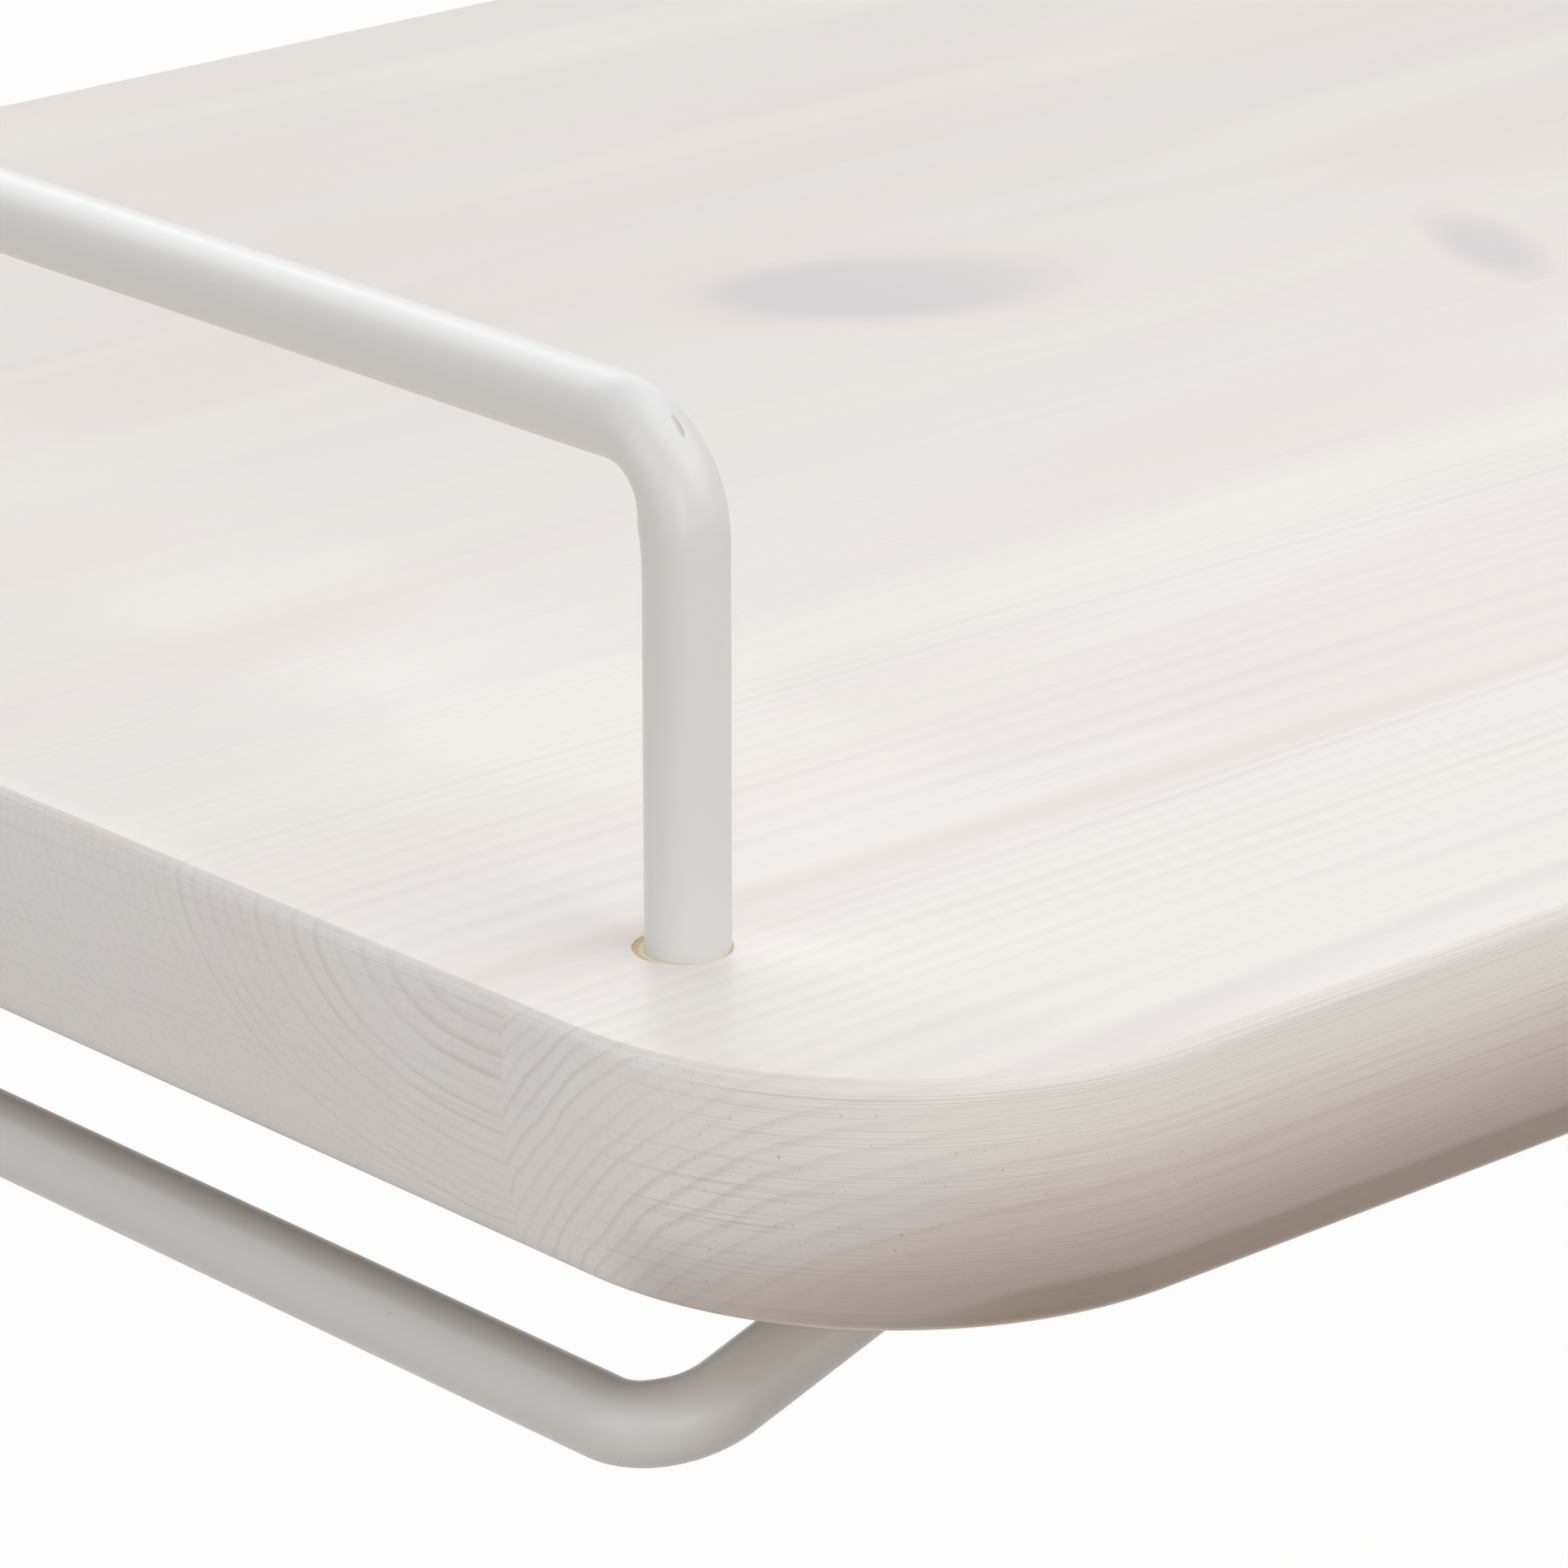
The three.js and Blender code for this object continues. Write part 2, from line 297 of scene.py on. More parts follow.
def colour(red, green, blue):
    """A colour written as it looks, 0 to 255, as linear light."""
    made = []
    for part in (red / 255, green / 255, blue / 255):
        made.append(part / 12.92 if part <= 0.04045 else ((part + 0.055) / 1.055) ** 2.4)
    return (*made, 1.0)


class Shader:
    """One material's nodes. Each method adds a node and gives back its output."""

    def __init__(self, name):
        self.material = bpy.data.materials.new(name)
        self.material.use_nodes = True
        self.tree = self.material.node_tree
        self.surface = self.tree.nodes["Principled BSDF"]
        place = self.node("TexCoord").outputs["Object"]
        self.place = self.vector("SCALE", place, scale=1 / MM)

    def feed(self, socket, value):
        if isinstance(value, bpy.types.NodeSocket):
            self.tree.links.new(value, socket)
        else:
            socket.default_value = value

    def set(self, **sockets):
        for name, value in sockets.items():
            self.feed(self.surface.inputs[name.replace("_", " ")], value)

    def node(self, kind, *values, **settings):
        """A new node with its settings, and values for its first sockets."""
        made = self.tree.nodes.new("ShaderNode" + kind)
        for name, setting in settings.items():
            setattr(made, name, setting)
        for socket, value in zip(made.inputs, values):
            self.feed(socket, value)
        return made

    def math(self, operation, *values):
        return self.node("Math", *values, operation=operation).outputs[0]

    def product(self, *values):
        made = values[0]
        for value in values[1:]:
            made = self.math("MULTIPLY", made, value)
        return made

    def total(self, *values):
        made = values[0]
        for value in values[1:]:
            made = self.math("ADD", made, value)
        return made

    def length(self, first, second):
        return self.math("SQRT", self.total(self.product(first, first), self.product(second, second)))

    def vector(self, operation, *values, scale=None):
        node = self.node("VectorMath", *values, operation=operation)
        if scale is not None:
            self.feed(node.inputs["Scale"], scale)
        return node.outputs["Vector"]

    def dot(self, first, second):
        return self.node("VectorMath", first, second, operation="DOT_PRODUCT").outputs["Value"]

    def split(self, vector):
        return self.node("SeparateXYZ", vector).outputs

    def stretched(self, x, y, z, offset):
        """The place, divided by a length in millimetres along each axis, and moved off by an offset."""
        scaled = self.vector("MULTIPLY", self.place, (1 / x, 1 / y, 1 / z))
        return self.vector("ADD", scaled, (offset, 1.7 * offset, 2.3 * offset))

    def noise(self, vector, detail=2.0):
        """Cloudy noise from 0 to 1 with a grain of about one unit."""
        node = self.node("TexNoise", vector)
        self.feed(node.inputs["Scale"], 1.0)
        self.feed(node.inputs["Detail"], detail)
        return node.outputs[0]

    def swing(self, vector, detail=2.0):
        """The same noise, from -0.5 to 0.5."""
        return self.math("SUBTRACT", self.noise(vector, detail), 0.5)

    def random(self, value):
        """One random number from 0 to 1 for each whole value."""
        node = self.node("TexWhiteNoise", noise_dimensions="1D")
        self.feed(node.inputs["W"], value)
        return node.outputs["Value"]

    def scatter(self, vector, radius, share):
        """Scattered dots, 1 inside and 0 outside, of a radius in units. A share of the cells has one."""
        node = self.node("TexVoronoi", vector)
        self.feed(node.inputs["Scale"], 1.0)
        chosen = self.math("LESS_THAN", self.split(node.outputs["Color"])[0], share)
        return self.product(chosen, self.step(node.outputs["Distance"], radius, radius * 0.5))

    def step(self, value, low, high, bottom=0.0, top=1.0):
        """A smooth step of value from low to high."""
        node = self.node("MapRange", interpolation_type="SMOOTHSTEP")
        parts = {"Value": value, "From Min": low, "From Max": high, "To Min": bottom, "To Max": top}
        if not isinstance(low, bpy.types.NodeSocket) and low > high:
            parts.update({"From Min": high, "From Max": low, "To Min": top, "To Max": bottom})
        for name, part in parts.items():
            self.feed(node.inputs[name], part)
        return node.outputs["Result"]

    def mix(self, share, first, second):
        node = self.node("Mix", data_type="RGBA")
        colours = [socket for socket in node.inputs if socket.type == "RGBA"]
        self.feed(node.inputs[0], share)
        self.feed(colours[0], first)
        self.feed(colours[1], second)
        return next(socket for socket in node.outputs if socket.type == "RGBA")

    def normal(self):
        return self.node("NewGeometry").outputs["Normal"]

    def bump(self, height, depth, under=None):
        """A bump that is depth millimetres high where height is 1, on top of another bump."""
        node = self.node("Bump")
        self.feed(node.inputs["Distance"], depth * MM)
        self.feed(node.inputs["Height"], height)
        if under is not None:
            self.feed(node.inputs["Normal"], under)
        return node.outputs[0]


# The top's wash is darker far back on the board than near its front, where the lighter wash is painted
# sheen. It changes between these two places along Y
PAINTED_SHEEN_CHANGE = (-60, -225)
FAR_WASH = colour(219, 213, 208)
NEAR_WASH_PAINTED_SHEEN = colour(240, 235, 231)
END_WASH = colour(240, 240, 241)
RING = colour(206, 201, 200)
PINK_TINT = colour(222, 205, 202)
GREEN_TINT = colour(237, 234, 224)
VIOLET_TINT = colour(222, 217, 219)
KNOT = colour(195, 192, 197)
RAW_WOOD = colour(228, 202, 156)
RAW_LIGHT = colour(244, 235, 212)
RESIN = colour(158, 128, 112)
# Painted highlight: light sanding lines, fibre glints and the lighter upper front
PAINTED_HIGHLIGHT = colour(243, 239, 234)
# Painted shade: the darkening low on the front and corner, and the dark sanding lines
PAINTED_SHADE = colour(186, 173, 164)
# Partly bare wood and partly painted shade, low on the front and corner
BARE_AND_SHADED_BAND = colour(165, 150, 139)
UNDERSIDE = colour(228, 208, 180)
BARE_GRAIN = colour(196, 164, 126)
BARE_KNOT = colour(152, 110, 76)
WORN = colour(222, 204, 188)

# Clouds of tint along the grain. A cloud shows by its share where its noise is past the range.
TINT_CLOUDS = (
    dict(tint=VIOLET_TINT, length=120, width=8, range=(0.45, 0.75), share=0.2, seed=13),
    dict(tint=PINK_TINT, length=110, width=22, range=(0.4, 0.7), share=0.22, seed=17),
    dict(tint=GREEN_TINT, length=150, width=17, range=(0.48, 0.7), share=0.25, seed=19),
)

# Where knots come through the top of the stave behind the rail, in millimetres and degrees
KNOTS = (
    dict(x=-74.9, y=-102.8, half_length=15.8, half_width=9.4, turn=-27, depth=0.8, soft=0.28),
    dict(x=-25.3, y=-128.8, half_length=10.2, half_width=3.8, turn=62, depth=0.7, soft=0.5),
)

# Pink patches in the top, in millimetres. The last two lie along the left rail's faint shadow and are
# painted shadow.
PATCH_SHARE = 0.4
PINK_PATCHES_AND_PAINTED_SHADOW = (
    dict(x=4, y=-104, half_length=30, half_width=15, turn=0),
    dict(x=24, y=-60, half_length=32, half_width=11, turn=0),
    # These two are the painted shadow of the left rail
    dict(x=-175, y=-113, half_length=14, half_width=8, turn=0),
    dict(x=-173, y=-141, half_length=17, half_width=6, turn=0),
)

# The pink streak along the pith on top of the front middle stave: how far in front of the back edge it is
# at the left end, and how much further for each millimetre along X. Behind it lies a greenish band.
HEART_STREAK = dict(y=205.9, slope=0.038, width=2.8, share=0.34)
GREEN_BAND = dict(y=-168.5, width=6.0, share=0.6)

# The front middle stave's rings turn bolder from one of these places to the next along Y
RING_JUMP = {"behind": -200.7, "in_front": -201.3}

# Each stave's growth rings, in millimetres. pith is the pith's Y and Z at the board's left end, and drift
# how far it moves for each millimetre along X. The rings lie closer by aspect along Z than along Y. There
# are density rings for each millimetre at the pith, and growth more with each millimetre away from it.
# They show by strength, and are fainter beyond the radius fade.
RINGS = {
    "front_stave": dict(
        pith=(-250.3, -120), drift=(0.004, 0), aspect=0.499, density=1.24, growth=0,
        fade=200, strength=1, seed=3.1,
    ),
    "front_middle_stave": dict(
        pith=(-208, 11.3), drift=(-0.0165, 0.01), aspect=1.787, density=0.185, growth=0.0142,
        fade=35, strength=1, seed=11.4,
    ),
    "back_middle_stave": dict(
        pith=(-96, -34), drift=(0.02, 0.03), aspect=1.1, density=0.42, growth=0,
        fade=0, strength=0.8, seed=23.9,
    ),
    "back_stave": dict(
        pith=(-44, 37), drift=(-0.01, 0.02), aspect=1.2, density=0.5, growth=0,
        fade=20, strength=0.6, seed=37.2,
    ),
}

PAINT_SHADES = (colour(227, 228, 228), colour(233, 233, 233))
PAINT_SPECK = colour(165, 163, 160)
CHIPPED_PAINT = colour(214, 212, 204)
PLASTIC_SHADES = (colour(219, 219, 215), colour(224, 224, 221))
ZINC_SHADES = (colour(196, 198, 200), colour(212, 211, 206))


def from_oval(s, x, y, oval):
    """How far a place is from an oval's middle: with 1 on its outline, and along Y in millimetres."""
    turn = math.radians(oval["turn"])
    dx = s.math("SUBTRACT", x, oval["x"])
    dy = s.math("SUBTRACT", y, oval["y"])
    along = s.total(s.product(dx, math.cos(turn)), s.product(dy, math.sin(turn)))
    across = s.total(s.product(dy, math.cos(turn)), s.product(dx, -math.sin(turn)))
    along = s.product(along, 1 / oval["half_length"])
    across = s.product(across, 1 / oval["half_width"])
    return s.length(along, across), dy


def knots(s, seed, x, y):
    """The shares of knot and of pink halo, and a Y whose lines flow round the knots as the grain does."""
    flowing_y, knotted, halo = y, 0.0, 0.0
    for knot in KNOTS:
        distance, dy = from_oval(s, x, y, knot)
        ragged = s.total(distance, s.product(s.swing(s.stretched(9, 7, 7, seed)), 0.2))
        lighter = s.step(s.math("SUBTRACT", x, knot["x"]), -9, 13, 1.0, 0.62)
        shape = s.step(ragged, 1 + knot["soft"], 1 - knot["soft"])
        knotted = s.math("MAXIMUM", knotted, s.product(shape, lighter, knot["depth"]))
        halo = s.math("MAXIMUM", halo, s.product(s.step(ragged, 1.7, 0.95), lighter))
        pull = s.math("EXPONENT", s.product(distance, distance, -0.22))
        flowing_y = s.math("SUBTRACT", flowing_y, s.product(dy, pull, 0.7))
    return knotted, halo, flowing_y


def late_wood(s, name, y, flowing_y, z, along, fine, cut_across):
    """How much of the rings' dark late wood shows: in thin sharp lines where the rings are cut across."""
    grown = RINGS[name]
    seed = grown["seed"]
    pith_y, pith_z = grown["pith"]
    drift_y, drift_z = grown["drift"]
    slow = s.swing(s.stretched(95, 14, 14, seed))
    across = s.total(flowing_y, -pith_y, s.product(along, -drift_y))
    across = s.total(across, s.product(slow, 2.6), s.product(fine, 0.5))
    height = s.total(z, -pith_z, s.product(along, -drift_z), s.product(slow, 1.4))
    radius = s.length(across, s.product(height, grown["aspect"]))
    rings = s.product(radius, s.math("ADD", s.product(radius, grown["growth"] / 2), grown["density"]))
    year = s.math("FLOOR", rings)
    season = s.math("FRACT", rings)
    sharp_line = s.product(s.step(season, 0.52, 0.86), s.step(season, 1.0, 0.92))
    broad_line = s.product(s.step(season, 0.2, 0.75), s.step(season, 1.0, 0.8))
    along_grain = s.math("SUBTRACT", 1.0, cut_across)
    late = s.total(s.product(sharp_line, cut_across), s.product(broad_line, along_grain))
    strong_year = s.step(s.random(s.math("ADD", year, seed)), 0.0, 1.0, 0.4, 1.0)
    faded = s.step(radius, grown["fade"] + 2.5, grown["fade"] - 2.5, 0.3, 1.0)
    patchy = s.step(s.noise(s.stretched(60, 7, 7, seed + 9)), 0.3, 0.7, 0.5, 1.0)
    late = s.product(late, strong_year, faded, patchy, grown["strength"])
    if name == "front_middle_stave":
        late = s.product(late, s.step(y, RING_JUMP["behind"], RING_JUMP["in_front"], 0.7, 1.1))
    return late


def tinted_wash(s, name, x, y, along, fine, end_grain, edge):
    """The white wash with tints that lie along the grain, weaker on the sides than on top. It is lighter
    towards the front as painted sheen, and two of its pink patches are painted shadow.
    """
    seed = RINGS[name]["seed"]
    quiet = s.step(edge, 0, 1, 1, 0.4)
    # Painted sheen: the top turns lighter towards the front
    sheened_wash = s.mix(s.step(y, *PAINTED_SHEEN_CHANGE), FAR_WASH, NEAR_WASH_PAINTED_SHEEN)
    wood = s.mix(end_grain, sheened_wash, END_WASH)
    for cloud in TINT_CLOUDS:
        width = cloud["width"]
        shape = s.noise(s.stretched(cloud["length"], width, width, seed + cloud["seed"]))
        share = s.product(quiet, s.step(shape, *cloud["range"], 0, cloud["share"]))
        wood = s.mix(share, wood, cloud["tint"])
    # Pink patches, two of which are the painted shadow of the left rail
    for patch in PINK_PATCHES_AND_PAINTED_SHADOW:
        distance = from_oval(s, x, y, patch)[0]
        wood = s.mix(s.product(s.step(distance, 1.2, 0.1), quiet, PATCH_SHARE), wood, PINK_TINT)
    if name == "front_middle_stave":
        on_top = s.step(edge, 0.5, 0)
        heart = s.total(y, HEART_STREAK["y"], s.product(along, HEART_STREAK["slope"]), s.product(fine, 1.5))
        streak = s.step(s.math("ABSOLUTE", heart), HEART_STREAK["width"], 0.2)
        wood = s.mix(s.product(streak, HEART_STREAK["share"], on_top), wood, PINK_TINT)
        band = s.step(s.math("ABSOLUTE", s.math("SUBTRACT", y, GREEN_BAND["y"])), GREEN_BAND["width"], 1.5)
        wood = s.mix(s.product(band, GREEN_BAND["share"], on_top), wood, GREEN_TINT)
    return wood


def sanded_sides_with_painted_glints(s, wood, seed, x, marks, scratches_and_sheen, edge, turned_away):
    """Adds sanding marks, resin specks and torn fibres to the sides. The marks' light lines and the fibres'
    bright specks are painted highlights, and the marks' dark lines painted shade.
    """
    # Sanding marks drawn as painted highlights and painted shade
    wood = s.mix(s.product(s.step(marks, 0.55, 0.68), scratches_and_sheen, 0.5), wood, PAINTED_HIGHLIGHT)
    wood = s.mix(s.product(s.step(marks, 0.45, 0.32), scratches_and_sheen, 0.4), wood, PAINTED_SHADE)
    spotted = s.product(edge, s.step(turned_away, 0, 1, 0.12, 1), s.step(x, -172, -186, 0.2, 1))
    small = s.scatter(s.stretched(0.8, 0.8, 0.8, seed + 29), 0.11, 0.8)
    large = s.scatter(s.stretched(1.4, 1.4, 1.4, seed + 33), 0.09, 0.5)
    # Bright specks: painted glints of torn fibres
    painted_fibre_glints = s.scatter(s.stretched(1.3, 1.3, 1.3, seed + 35), 0.08, 0.6)
    wood = s.mix(s.product(small, spotted, 0.5), wood, RESIN)
    wood = s.mix(s.product(large, spotted, 0.6), wood, RESIN)
    return s.mix(s.product(painted_fibre_glints, edge, 0.7), wood, PAINTED_HIGHLIGHT)


def thin_wash_and_painted_shade(s, wood, seed, z, edge, facing):
    """Thins the wash in streaks under the arris. Darkens the front and the corner towards the bottom and
    lightens them towards the top, which is painted shade and painted light together with a thinner wash. Low
    on the front it ends in a band that is partly bare wood and partly painted shade.
    """
    streaks = s.noise(s.stretched(14, 14, 0.2, seed + 41), 2)
    under_arris = s.product(s.step(z, 7.9, 8.9), s.step(z, 9.36, 9.2), s.step(streaks, 0.45, 0.62))
    wood = s.mix(s.product(under_arris, 0.3), wood, WORN)
    ragged = s.total(z, s.product(s.swing(s.stretched(7, 7, 2, seed + 43), 3), 0.5))
    front = s.step(facing, 0.25, 0.95)
    # Painted shade, partly a thinner wash: darker towards the bottom of the front and corner
    wood = s.mix(s.product(s.step(ragged, 8, -7), front, 0.8), wood, PAINTED_SHADE)
    # Painted light: lighter towards the top of the front and corner
    wood = s.mix(s.product(s.step(ragged, 0, 7.5), front, 0.8, edge), wood, PAINTED_HIGHLIGHT)
    # Painted shade low on the corner and front, in the bare band's colour
    lowest = s.product(s.step(ragged, -0.5, -8), s.step(facing, 0.02, 0.3))
    wood = s.mix(s.product(lowest, 0.48), wood, BARE_AND_SHADED_BAND)
    # A band low on the front, partly bare wood and partly painted shade
    band_top = s.step(facing, 0.7, 0.97, -8.4, -5.9)
    below = s.math("SUBTRACT", band_top, ragged)
    shaded_bare_band = s.product(s.step(below, -0.4, 0.4), s.step(facing, 0.68, 0.98))
    return s.mix(shaded_bare_band, wood, BARE_AND_SHADED_BAND)


def bare_sockets(s, seed, x, y, z):
    """The share of bare wood in the sockets and on their ragged rims, and its colour."""
    nearest = 1000.0
    gold = 0.0
    for socket_y in (LEG_Y, POST_Y):
        dx = s.math("SUBTRACT", s.math("ABSOLUTE", x), (RAIL_X + RIM_OUTWARD) / MM)
        dy = s.math("SUBTRACT", y, (socket_y + RIM_BACK) / MM)
        nearest = s.math("MINIMUM", s.length(dx, dy), nearest)
        outer_back = s.total(s.product(dx, 0.8), s.product(dy, 0.6))
        gold = s.math("MAXIMUM", gold, s.product(s.step(outer_back, 1.4, 2.6), s.step(outer_back, 4.5, 4.2)))
    rim = s.total(nearest, s.product(s.swing(s.stretched(0.5, 0.5, 0.5, seed), 3), 0.3))
    bare = s.step(rim, SOCKET_RIM / MM + 0.1, SOCKET_RIM / MM)
    bare = s.product(bare, s.math("GREATER_THAN", z, 0))
    return bare, s.mix(s.product(gold, s.step(rim, 2.95, 3.15)), RAW_LIGHT, RAW_WOOD)


def pine(name):
    """Whitewashed, lacquered pine with growth rings about a pith that runs along X."""
    seed = RINGS[name]["seed"]
    s = Shader(f"whitewashed_pine_{name}")
    x, y, z = s.split(s.place)
    normal = s.split(s.normal())
    normal_x, normal_y, normal_z = (s.math("ABSOLUTE", part) for part in normal)
    end_grain = s.step(normal_x, 0.25, 0.9)
    edge = s.step(normal_z, 0.85, 0.4)
    turned_away = s.step(normal_y, 0.03, 0.5)
    facing = s.math("DIVIDE", normal_y, s.math("MAXIMUM", s.length(normal_x, normal_y), 0.001))

    knotted, halo, flowing_y = knots(s, seed, x, y) if name == "back_middle_stave" else (0.0, 0.0, y)
    along = s.math("SUBTRACT", x, BOARD_LOW.x / MM)
    fine = s.swing(s.stretched(22, 2.4, 2.4, seed + 5))
    cut_across = s.math("MAXIMUM", end_grain, s.product(edge, 0.7))
    late = late_wood(s, name, y, flowing_y, z, along, fine, cut_across)
    fibres = s.noise(s.stretched(26, 0.45, 0.45, seed + 23), 3)
    marks = s.noise(s.stretched(24, 24, 0.13, seed + 31), 3)
    scratches_and_sheen = s.product(edge, s.step(turned_away, 0, 1, 0.3, 1), s.step(z, 6.5, 8.6, 1, 1.8))

    # The wash on the top and the sides, with painted sheen, painted highlights and painted shade
    wood = tinted_wash(s, name, x, y, along, fine, end_grain, edge)
    wood = s.mix(s.step(fibres, 0.45, 0.75, 0, 0.1), wood, RING)
    wood = s.mix(s.product(late, s.total(0.28, s.product(edge, 0.17))), wood, RING)
    wood = s.mix(s.product(halo, 0.3), wood, PINK_TINT)
    wood = s.mix(knotted, wood, KNOT)
    wood = sanded_sides_with_painted_glints(s, wood, seed, x, marks, scratches_and_sheen, edge, turned_away)
    wood = thin_wash_and_painted_shade(s, wood, seed, z, edge, facing)

    # Bare wood below and in the sockets
    grain = s.total(s.product(late, 0.45), s.step(fibres, 0.42, 0.75, 0, 0.35))
    underside = s.mix(grain, UNDERSIDE, BARE_GRAIN)
    underside = s.mix(s.product(knotted, 0.7), underside, BARE_KNOT)
    wood = s.mix(s.step(normal[2], -0.6, -0.95), wood, underside)
    bare, raw = bare_sockets(s, seed, x, y, z)
    wood = s.mix(bare, wood, raw)

    torn = s.product(s.math("SUBTRACT", marks, 0.5), scratches_and_sheen, 1.3)
    relief = s.bump(s.total(s.product(late, 0.08), s.product(fibres, 0.25), torn), 0.03)
    wavy = s.bump(s.noise(s.stretched(9, 3.5, 3.5, seed + 37), 1), 0.02, under=relief)
    rough = s.total(s.step(edge, 0, 1, 0.34, 0.5), s.product(late, 0.08), s.product(bare, 0.3))
    s.set(Base_Color=wood, Roughness=rough, Normal=wavy, IOR=1.5)
    return s.material


def coated_steel(name, seed, chipped=False):
    """White satin powder coat with a faint orange peel, a few dust specks and a little unevenness."""
    s = Shader(name)
    cloudy = s.noise(s.stretched(22, 22, 22, seed))
    paint = s.mix(cloudy, *PAINT_SHADES)
    specks = s.scatter(s.stretched(2.6, 2.6, 2.6, seed + 3), 0.05, 0.4)
    paint = s.mix(s.product(specks, 0.5), paint, PAINT_SPECK)
    if chipped:
        place, chip_along, chip_out = CHIP
        half_width, half_length = CHIP_WIDTH / MM / 2, CHIP_LENGTH / MM / 2
        offset = s.vector("SUBTRACT", s.place, place / MM)
        along = s.math("ABSOLUTE", s.dot(offset, chip_along))
        across = s.math("ABSOLUTE", s.dot(offset, chip_along.cross(chip_out)))
        outward = s.dot(offset, chip_out)
        mark = s.product(
            s.step(across, half_width, half_width - 0.06),
            s.step(along, half_length, half_length - 0.3),
            s.step(outward, -0.01, -0.04),
            s.step(outward, -0.5, -0.4),
        )
        paint = s.mix(mark, paint, CHIPPED_PAINT)
    peel = s.noise(s.stretched(1.5, 1.5, 1.5, seed + 7), 1)
    dust = s.scatter(s.stretched(3.4, 3.4, 3.4, seed + 11), 0.06, 0.35)
    relief = s.bump(s.total(s.product(peel, 0.5), s.product(dust, 0.8)), 0.016)
    rough = s.step(s.noise(s.stretched(7, 7, 7, seed + 13)), 0.3, 0.7, 0.29, 0.35)
    s.set(Base_Color=paint, Roughness=rough, Normal=relief, IOR=1.5)
    return s.material


def soft_plastic(name, seed):
    s = Shader(name)
    cloudy = s.noise(s.stretched(9, 9, 9, seed))
    tint = s.mix(cloudy, *PLASTIC_SHADES)
    matt = s.noise(s.stretched(0.35, 0.35, 0.35, seed + 3), 2)
    s.set(Base_Color=tint, Roughness=s.step(matt, 0.3, 0.7, 0.5, 0.6), Normal=s.bump(matt, 0.012))
    return s.material


def zinc_plate(name, seed):
    s = Shader(name)
    s.set(Metallic=1.0)
    stains = s.noise(s.stretched(2.5, 2.5, 2.5, seed), 3)
    tint = s.mix(stains, *ZINC_SHADES)
    turning = s.noise(s.stretched(1.2, 1.2, 0.12, seed + 3), 3)
    s.set(Base_Color=tint, Roughness=s.step(stains, 0.3, 0.7, 0.3, 0.42), Normal=s.bump(turning, 0.006))
    return s.material


# The board

def edge_profile():
    """How far the edge lies in from the board's outline, and at what height, from the bottom to the top.

    A full round below, a crowned face, a round that ends in a crisp arris, and a rolled margin.
    """
    low, high = BOARD_LOW.z, BOARD_HIGH.z

    def crown(height):
        tilt = math.asin((height - CROWN_HEIGHT) / CROWN_RADIUS)
        return CROWN_RADIUS * (1 - math.cos(tilt)), tilt

    def rounded(start, radius, first, last, steps):
        """Points on a round that leaves the place start with the tilt first."""
        points = []
        for k in range(steps + 1):
            angle = first + (last - first) * k / steps
            reach = start[0] + radius * (math.cos(first) - math.cos(angle))
            points.append((reach, start[1] + radius * (math.sin(angle) - math.sin(first))))
        return points

    shared = BOTTOM_RADIUS / CROWN_RADIUS
    crown_start = (low + BOTTOM_RADIUS - shared * CROWN_HEIGHT) / (1 - shared)
    inset, tilt = crown(crown_start)
    made = rounded((inset, crown_start), BOTTOM_RADIUS, tilt, -math.pi / 2, 14)[::-1]

    last = math.radians(ARRIS_DEGREES)
    arris_height = high - ARRIS_DROP
    round_height = arris_height - ARRIS_RADIUS * math.sin(last)
    round_start = round_height + ARRIS_RADIUS * math.sin(crown(round_height)[1])
    for k in range(1, 16):
        height = crown_start + (round_start - crown_start) * k / 16
        made.append((crown(height)[0], height))
    inset, tilt = crown(round_start)
    made += rounded((inset, round_start), ARRIS_RADIUS, tilt, last, 8)
    reach, height = made[-1]
    for k in range(1, 7):
        left = 1 - k / 6
        made.append((reach + ROLLED_MARGIN * (1 - left), high - (high - height) * left ** 2))
    return made


def outline(inset, z, corner_steps=40):
    """The board's rounded outline, drawn in by an inset."""
    radius = CORNER_RADIUS - inset
    x = BOARD_HIGH.x - CORNER_RADIUS
    front, back = BOARD_LOW.y + CORNER_RADIUS, BOARD_HIGH.y - CORNER_RADIUS
    ring = []
    for quarter, (cx, cy) in enumerate(((x, front), (x, back), (-x, back), (-x, front))):
        for k in range(corner_steps + 1):
            angle = math.radians(90 * (quarter - 1 + k / corner_steps))
            ring.append(Vector((cx + radius * math.cos(angle), cy + radius * math.sin(angle), z)))
    return ring


def socket_cutter(sign, y):
    """A drilled socket, close about its leg, with a shallow, slightly torn rim that lies off its middle."""
    bore = Vector((sign * RAIL_X, y, 0))
    rim = bore + Vector((sign * RIM_OUTWARD, RIM_BACK, 0))
    top = BOARD_HIGH.z
    overcut = 1 * MM
    flare = 0.3 * (SOCKET_RIM - SOCKET_FIT) / RIM_DEPTH
    levels = [
        (SOCKET_BOTTOM, bore, SOCKET_FIT, 0),
        (top - RIM_DEPTH, bore, SOCKET_FIT, 0),
        (top - 0.45 * RIM_DEPTH, rim, SOCKET_RIM - 0.12 * MM, 1),
        (top, rim, SOCKET_RIM, 1),
        (top + overcut, rim, SOCKET_RIM + flare * overcut, 1),
    ]
    sides = 96
    rings = []
    for height, middle, radius, torn in levels:
        ring = []
        for angle in turns(sides):
            way = Vector((math.cos(angle), math.sin(angle), 0))
            tear = RIM_TEAR * torn * noise.noise(way * 3.4 + bore * 90)
            ring.append(middle + Vector((0, 0, height)) + way * (radius + tear))
        rings.append(ring)
    return capped_tube("socket_cutter", rings)


